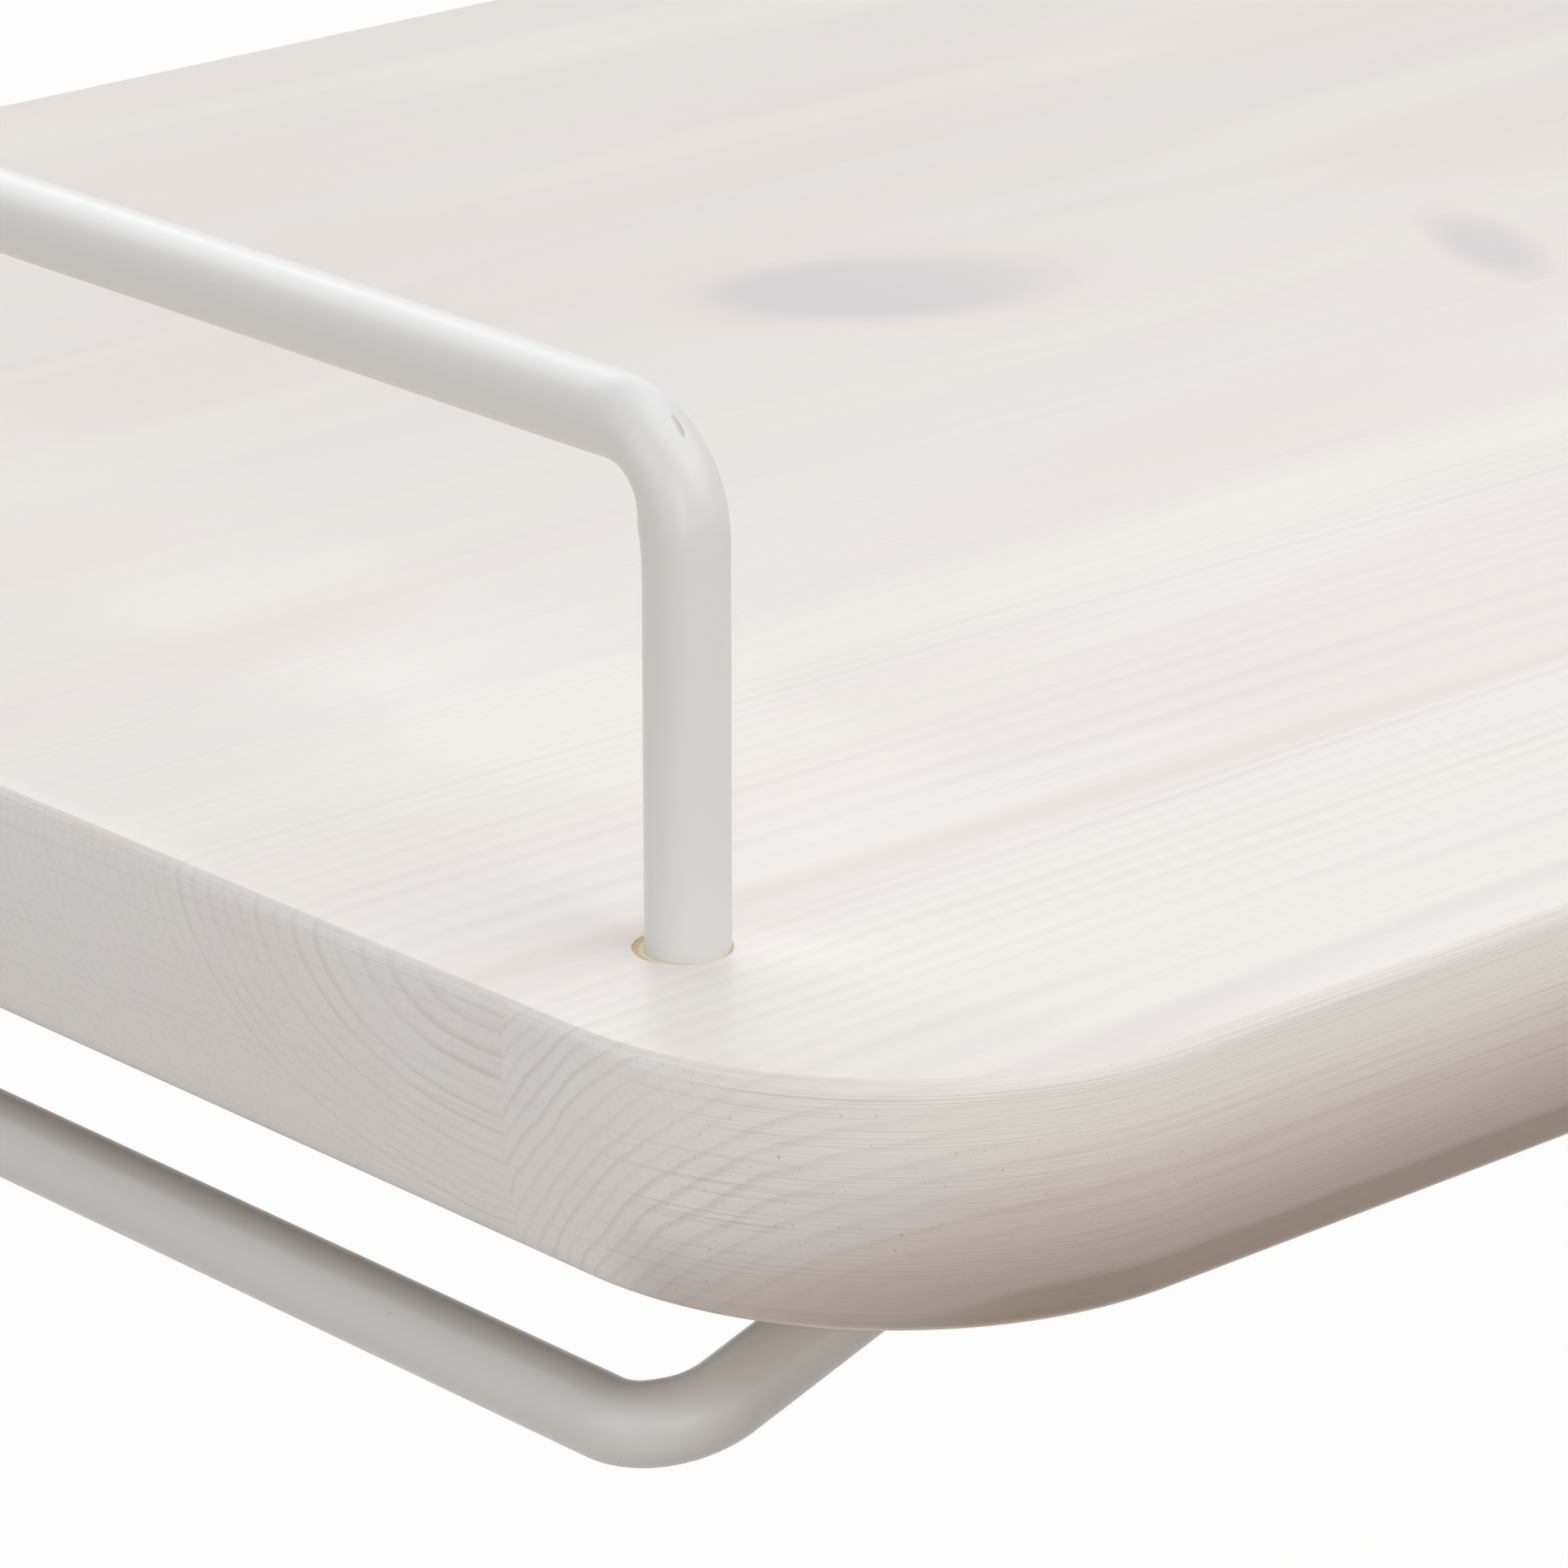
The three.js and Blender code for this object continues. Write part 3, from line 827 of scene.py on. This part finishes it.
def drill(diameter, bottom, top, x, y):
    radius = diameter / 2
    return turned("drill", [(0, bottom), (radius, bottom), (radius, top), (0, top)], (x, y, 0), sides=48)


def board_pieces():
    whole = capped_tube("whole_board", [outline(inset, z) for inset, z in edge_profile()])
    cutters = []
    below = 2 * BOARD_LOW.z
    for sign in SIDES.values():
        for y in (LEG_Y, POST_Y):
            cutters.append(socket_cutter(sign, y))
            cutters.append(drill(SCREW_HOLE, below, SOCKET_BOTTOM + 1 * MM, sign * RAIL_X, y))
    for side in SIDES:
        for end in ENDS:
            middle = middle_of(f"{side}_saddle_{end}_screw")
            cutters.append(drill(PILOT_HOLE, below, BOARD_LOW.z + PILOT_DEPTH, middle.x, middle.y))
    combine(whole, "DIFFERENCE", cutters)
    margin = Vector((10, 10, 10)) * MM
    for name in STAVES:
        low, high = box_of(name)
        slab_low, slab_high = low - margin, high + margin
        if name != STAVES[0]:
            slab_low.y = low.y
        if name != STAVES[-1]:
            slab_high.y = high.y
        stave = add_object(f"pine_{name}", whole.data.copy())
        combine(stave, "INTERSECT", [block("slab", slab_low, slab_high)])
        finish_piece(stave, pine(name), name, sharp_degrees=8.5)
    bpy.data.objects.remove(whole)


# The rods

def bent_line(corners, bend_radius, bulge_at):
    """Stations along a bent rod: place, heading, the inner side of the nearest bend, and two shares.

    The first share is how near the bend's middle is, from 0 to 1, and the second how near the place where
    the rod bulges, which is bulge_at of the way round the bend.
    """
    fine, coarse = 0.25 * MM, 6 * MM
    corners = [Vector(corner) for corner in corners]
    bends = []
    for before, corner, after in zip(corners, corners[1:], corners[2:]):
        incoming, outgoing = (corner - before).normalized(), (after - corner).normalized()
        turn = incoming.angle(outgoing)
        start = corner - incoming * bend_radius * math.tan(turn / 2)
        inward = (outgoing - incoming * math.cos(turn)).normalized()
        bends.append((start, incoming, inward, turn))
    stations = []

    def near(distance, turn):
        """Shares for a distance along the rod, from where the bend starts."""
        arc_length = bend_radius * turn
        middle = (distance / arc_length - 0.5) / PINCH_REACH
        bulge = (distance / arc_length - bulge_at) / BULGE_REACH
        return math.exp(-middle ** 2), math.exp(-bulge ** 2)

    def straight(start, end, before, after):
        """A straight run, with stations closer together near the bends at its ends."""
        length = (end - start).length
        heading = (end - start).normalized()
        marks = {0.0, length}
        run_in = 6 * MM
        steps = int(run_in / fine)
        if before:
            marks.update(min(k * fine, length / 2) for k in range(steps))
        if after:
            marks.update(max(length - k * fine, length / 2) for k in range(steps))
        pieces = int(length / coarse)
        spread = [length * k / pieces for k in range(1, pieces)]
        marks.update(mark for mark in spread if run_in < mark < length - run_in)
        for mark in sorted(marks):
            pulls = []
            if before:
                pulls.append((near(mark + bend_radius * before[1], before[1]), before[0]))
            if after:
                pulls.append((near(mark - length, after[1]), after[0]))
            pull, side = max(pulls, key=lambda item: item[0][0]) if pulls else ((0.0, 0.0), None)
            stations.append((start + heading * mark, heading, side, pull))

    here, before = corners[0], None
    for start, incoming, inward, turn in bends:
        straight(here, start, before, (inward, turn))
        centre = start + inward * bend_radius
        steps = max(8, int(bend_radius * turn / fine))
        for k in range(1, steps):
            angle = turn * k / steps
            heading = incoming * math.cos(angle) + inward * math.sin(angle)
            side = inward * math.cos(angle) - incoming * math.sin(angle)
            stations.append((centre - side * bend_radius, heading, side, near(bend_radius * angle, turn)))
        side = inward * math.cos(turn) - incoming * math.sin(turn)
        here = centre - side * bend_radius
        before = (side, turn)
    straight(here, corners[-1], before, None)
    return stations


def bent_rod(name, corners, bend_radius, pinch, bulge, bulge_at):
    """A round rod along a bent line. In each bend its inner side is pinched, and bulges beside the pinch."""
    stations = bent_line(corners, bend_radius, bulge_at)
    rings = []
    across = stations[0][1].orthogonal().normalized()
    for place, heading, side, pull in stations:
        across = (across - heading * across.dot(heading)).normalized()
        other = heading.cross(across)
        ring = []
        for angle in turns(ROD_SIDES):
            way = across * math.cos(angle) + other * math.sin(angle)
            reach = ROD_RADIUS
            if side is not None:
                reach *= 1 + (pull[1] * bulge - pull[0] * pinch) * max(way.dot(side), 0) ** 2
            ring.append(place + way * reach)
        rings.append(ring)
    return capped_tube(name, rings)


def tool_mark():
    """A cutter for the thin gouge in the paint of the left rail's bend."""
    place, along, out = CHIP
    across = along.cross(out)
    sides, steps = 10, 14
    rings = []
    for k in range(steps + 1):
        reach = -1 + 2 * k / steps
        swell = max(math.sqrt(max(1 - reach ** 2, 0)), 0.04)
        swell *= 1 + 0.35 * noise.noise(Vector((5 * reach, 3, 8)))
        middle = place + along * (CHIP_LENGTH / 2 * reach)
        ring = []
        for angle in turns(sides):
            way = across * (CHIP_WIDTH / 2 * math.cos(angle)) + out * (CHIP_DEPTH * math.sin(angle))
            ring.append(middle + way * swell)
        rings.append(ring)
    return capped_tube("tool_mark", rings)


def welded_post(x):
    """The post under the rail's back end, with a concave weld at its top."""
    post_radius = 0.995 * ROD_RADIUS
    thickest_bead = 0.9 * MM
    step = 0.12 * MM
    heights = [SOCKET_BOTTOM, SOCKET_BOTTOM + 20 * MM]
    first = RAIL_Z - ROD_RADIUS - WELD_FILLET - step
    heights += [first + k * step for k in range(int((RAIL_Z - first) / step))]
    rings = []
    for height in heights:
        ring = []
        for angle in turns(ROD_SIDES):
            way = Vector((math.cos(angle), math.sin(angle), 0))
            rail_above = RAIL_Z - ROD_RADIUS * abs(way.y)
            near = min(max(1 - (rail_above - height) / WELD_FILLET, 0), 1)
            bead = WELD_FILLET * (1 - math.sqrt(1 - near ** 2)) * abs(way.y) ** 0.5
            ripple = 1 + 0.12 * math.sin(23 * angle) + 0.25 * noise.noise(way * 5)
            reach = post_radius + min(bead, thickest_bead) * ripple
            ring.append(Vector((x, POST_Y, height)) + way * reach)
        rings.append(ring)
    return capped_tube("post", rings)


def side_rail(side, paint):
    x = SIDES[side] * RAIL_X
    corners = [(x, LEG_Y, SOCKET_BOTTOM), (x, LEG_Y, RAIL_Z), (x, HOOK_Y, RAIL_Z), (x, HOOK_Y, HOOK_END)]
    rail = bent_rod(f"coated_{side}_side_rail", corners, RAIL_BEND_RADIUS, **RAIL_BEND_SHAPE)
    combine(rail, "UNION", [welded_post(x)])
    if side == "left":
        combine(rail, "DIFFERENCE", [tool_mark()])
    bore_start, bore_end = SOCKET_BOTTOM - 2 * MM, SOCKET_BOTTOM + LEG_BORE_DEPTH
    combine(rail, "DIFFERENCE", [drill(LEG_BORE, bore_start, bore_end, x, y) for y in (LEG_Y, POST_Y)])
    finish_piece(rail, paint, f"{side}_side_rail")


def lower_brace(paint):
    arm_x = BRACE_HIGH.x - ROD_RADIUS
    bar_y = BRACE_LOW.y + ROD_RADIUS
    arm_z, bar_z = BRACE_LOW.z + ROD_RADIUS, BRACE_HIGH.z - ROD_RADIUS
    crank_run = (bar_z - arm_z) / math.tan(math.radians(CRANK_DEGREES))
    half = [(arm_x, BRACE_HIGH.y, arm_z), (arm_x, bar_y, arm_z), (arm_x - crank_run, bar_y, bar_z)]
    corners = half + [(-x, y, z) for x, y, z in reversed(half)]
    brace = bent_rod("coated_lower_brace", corners, BRACE_BEND_RADIUS, **BRACE_BEND_SHAPE)
    finish_piece(brace, paint, "lower_brace")


# Plastic cups, screws, washers and saddles

def cup(node, axis, wall, floor, plastic):
    """A cup over a rod's end. The axis points out of its mouth."""
    low, high = box_of(node)
    axis = Vector(axis)
    middle = (low + high) / 2
    length = abs((high - low).dot(axis))
    closed_end = middle - axis * length / 2
    outer = min(high - low) / 2
    inner = outer - wall
    rounding = 0.55 * MM
    bead = 0.2 * MM
    profile = [(0, 0), (outer - rounding, 0)]
    profile += arc(outer - rounding, rounding, rounding, -90, 0, 8)[1:]
    profile += [(outer, length - 5 * bead), (outer - bead / 2, length - 4 * bead)]
    profile += arc(outer - bead * 1.2, length - bead * 1.2, bead * 1.2, 0, 90, 6)
    profile += arc(inner + bead, length - bead, bead, 90, 180, 4)
    profile += [(inner, floor), (0, floor)]
    made = turned(f"soft_{node}", profile, closed_end, axis)
    finish_piece(made, plastic, node)


def pan_screw(node, sizes, zinc):
    """A pan-head screw that points up, with a cross recess in its head."""
    low, high = box_of(node)
    middle = (low + high) / 2
    head_radius = (high.x - low.x) / 2
    head, shank = sizes["head"], sizes["shank"] / 2
    length = high.z - low.z - head
    profile = []
    for k in range(13):
        angle = math.radians(90 * k / 12)
        profile.append((head_radius * math.sin(angle) ** 0.8, -head * math.cos(angle)))
    profile += [(head_radius * 0.97, 0), (shank, 0)]
    pitch = 1.1 * MM
    threads = int((length - 2 * shank) / pitch)
    depth = 0.22 * MM
    for k in range(threads):
        start = 0.6 * MM + k * pitch
        profile += [(shank - depth, start), (shank - depth, start + 0.45 * pitch)]
        profile.append((shank, start + 0.72 * pitch))
    profile += [(shank - depth, length - 1.4 * shank), (shank / 3, length - 0.1 * MM), (0, length)]
    screw = turned(f"zinc_{node}", profile, (middle.x, middle.y, low.z + head), sides=48)
    slot = sizes["recess"] / 5
    wings = []
    for across in (Vector((1, 0)), Vector((0, 1))):
        half = Vector((slot / 2, slot / 2)) + across * (sizes["recess"] - slot) / 2
        wings.append(block(
            "wing",
            (middle.x - half.x, middle.y - half.y, low.z - MM),
            (middle.x + half.x, middle.y + half.y, low.z + 0.6 * head),
        ))
    combine(screw, "DIFFERENCE", wings)
    ease(screw, 0.05 * MM, 1)
    finish_piece(screw, zinc, node)


def washer(node, hole, zinc):
    low, high = box_of(node)
    middle = (low + high) / 2
    outer = (high.x - low.x) / 2
    thick = high.z - low.z
    rounding = 0.2 * MM
    bevel = 0.1 * MM
    profile = [(hole / 2, bevel), (hole / 2 + bevel, 0)]
    profile += arc(outer - rounding, rounding, rounding, -90, 0, 4)
    profile += arc(outer - rounding, thick - rounding, rounding, 0, 90, 4)
    profile += [(hole / 2 + bevel, thick), (hole / 2, thick - bevel)]
    made = turned(f"zinc_{node}", profile, (middle.x, middle.y, low.z), ring=True)
    finish_piece(made, zinc, node)


def saddle(side, paint):
    """A pressed strap over the brace's bar, with a screw ear on each side."""
    node = f"{side}_saddle"
    low, high = box_of(node)
    middle = (low + high) / 2
    inner = ROD_RADIUS + SADDLE_GAP
    outer = inner + SADDLE_THICKNESS
    bend = 0.21 * MM
    steps = 24
    centre = high.z - inner

    def side_line(reach, drop):
        """Half of the strap's inner or outer line, from its ear's end to its lowest point."""
        ear = high.z - drop
        line = [(-(high.y - low.y) / 2, ear), (-reach - bend, ear)]
        for k in range(1, 6):
            angle = math.radians(90 * k / 6)
            line.append((-reach - bend * (1 - math.sin(angle)), ear - bend * (1 - math.cos(angle))))
        for k in range(steps + 1):
            angle = math.radians(180 + 90 * k / steps)
            line.append((reach * math.cos(angle), centre + reach * math.sin(angle)))
        return line

    def whole(line):
        return line + [(-y, z) for y, z in reversed(line[:-1])]

    under = whole(side_line(outer, SADDLE_THICKNESS))
    over = whole(side_line(inner, 0))
    ring = under + list(reversed(over))
    ends = []
    for x in (low.x, high.x):
        ends.append([Vector((x, middle.y + y, z)) for y, z in ring])
    made = capped_tube(f"coated_{node}", ends)
    holes = []
    for end in ENDS:
        place = middle_of(f"{side}_saddle_{end}_screw")
        holes.append(drill(PILOT_HOLE, low.z - MM, high.z + MM, place.x, place.y))
    combine(made, "DIFFERENCE", holes)
    ease(made, 0.18 * MM, 3, 50)
    finish_piece(made, paint, node)


def finish_piece(made, material, node, sharp_degrees=38):
    """Gives a piece its material and creases, and lets it stand for its solid."""
    made.data.materials.clear()
    made.data.materials.append(material)
    shade(made, sharp_degrees)
    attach(made, "root")
    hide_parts(node)


# Studio

FLOOR_GAP = 0.3 * MM
FLOOR_SIZE = 12
FLOOR_COLOUR = colour(196, 184, 172)
LAMP_DISTANCE = 1.5
WHITE_SHARE = 0.982


def show_white(tree, lit, white, output, share):
    """Mixes a share of white into what is lit, for rays from the camera, reflected or through glass."""
    path = tree.nodes.new("ShaderNodeLightPath")
    seen = path.outputs["Is Camera Ray"]
    steps = (("MAXIMUM", "Is Glossy Ray"), ("MAXIMUM", "Is Transmission Ray"), ("MULTIPLY", None))
    for operation, name in steps:
        node = tree.nodes.new("ShaderNodeMath")
        node.operation = operation
        tree.links.new(seen, node.inputs[0])
        if name:
            tree.links.new(path.outputs[name], node.inputs[1])
        else:
            node.inputs[1].default_value = share
        seen = node.outputs[0]
    mixed = tree.nodes.new("ShaderNodeMixShader")
    for socket, source in zip(mixed.inputs, (seen, lit.outputs[0], white.outputs[0])):
        tree.links.new(source, socket)
    tree.links.new(mixed.outputs[0], tree.nodes[output].inputs["Surface"])


def white_floor():
    """A pale floor that the shelf stands on, which shows as white paper with a faint shadow."""
    height = CAD_LOW.z - FLOOR_GAP
    half = FLOOR_SIZE / 2
    corners = [(x * half, y * half, height) for x, y in ((-1, -1), (1, -1), (1, 1), (-1, 1))]
    floor = mesh_object("floor", corners, [(0, 1, 2, 3)])
    material = bpy.data.materials.new("white_paper")
    material.use_nodes = True
    tree = material.node_tree
    paper = tree.nodes["Principled BSDF"]
    paper.inputs["Base Color"].default_value = FLOOR_COLOUR
    paper.inputs["Roughness"].default_value = 0.9
    glow = tree.nodes.new("ShaderNodeEmission")
    glow.inputs["Strength"].default_value = 1.0
    show_white(tree, paper, glow, "Material Output", WHITE_SHARE)
    floor.data.materials.append(material)


def soft_world(strength):
    """A plain grey sky for light, which shows as white."""
    world = bpy.data.worlds.new("studio")
    bpy.context.scene.world = world
    world.use_nodes = True
    tree = world.node_tree
    sky = tree.nodes["Background"]
    sky.inputs["Color"].default_value = (1, 1, 1, 1)
    sky.inputs["Strength"].default_value = strength
    white = tree.nodes.new("ShaderNodeBackground")
    white.inputs["Strength"].default_value = 1.0
    white.inputs["Color"].default_value = (1, 1, 1, 1)
    show_white(tree, sky, white, "World Output", 1.0)


def softbox(name, azimuth, elevation, size, power):
    """A square soft lamp that points at the shelf's middle, from an azimuth that counts from +X to +Y."""
    lamp = bpy.data.lights.new(name, "AREA")
    lamp.size = size
    lamp.energy = power
    turn, rise = math.radians(azimuth), math.radians(elevation)
    way = Vector((math.cos(turn) * math.cos(rise), math.sin(turn) * math.cos(rise), math.sin(rise)))
    made = add_object(name, lamp)
    made.location = (CAD_LOW + CAD_HIGH) / 2 + way * LAMP_DISTANCE
    made.rotation_mode = "QUATERNION"
    made.rotation_quaternion = (-way).to_track_quat("-Z", "Y")


def studio():
    bpy.context.scene.view_settings.view_transform = "Standard"
    white_floor()
    soft_world(0.01)
    softbox("key", 300, 60, 2.2, 19.1)
    softbox("high_front", 285, 72, 1.8, 2.6)
    softbox("back", 90, 31, 1.3, 9.3)
    softbox("front", 285, 32, 1.2, 2.4)
    softbox("low_left", 180, 20, 1.0, 4.8)
    softbox("left_front", 225, 8, 0.8, 4.8)
    softbox("right_back", 45, 36, 1.0, 2.4)


def photograph_camera():
    lens = bpy.data.cameras.new("camera")
    lens.sensor_fit = "HORIZONTAL"
    lens.sensor_width = SENSOR
    lens.lens = SENSOR * FOCAL_PIXELS / FRAME_PIXELS
    lens.clip_start, lens.clip_end = 0.05, 30
    camera = add_object("camera", lens)
    camera.location = CAMERA_PLACE
    camera.rotation_mode = "QUATERNION"
    camera.rotation_quaternion = CAMERA_AHEAD.to_track_quat("-Z", "Y")
    bpy.context.scene.camera = camera


photograph_camera()
studio()
board_pieces()
lower_brace(coated_steel("white_coat_brace", 41))
zinc = zinc_plate("bright_zinc", 53)
plastic = soft_plastic("soft_white_plastic", 61)
for side in SIDES:
    paint = coated_steel(f"white_coat_{side}", 71 if side == "left" else 83, chipped=side == "left")
    side_rail(side, paint)
    saddle(side, paint)
    cup(f"{side}_hook_sleeve", (0, 0, 1), SLEEVE_WALL, SLEEVE_FLOOR, plastic)
    cup(f"{side}_brace_cap", (0, -1, 0), CAP_WALL, CAP_FLOOR, plastic)
    for end in ENDS:
        washer(f"{side}_{end}_washer", LEG_BORE, zinc)
        pan_screw(f"{side}_{end}_leg_screw", LEG_SCREW, zinc)
        pan_screw(f"{side}_saddle_{end}_screw", SADDLE_SCREW, zinc)
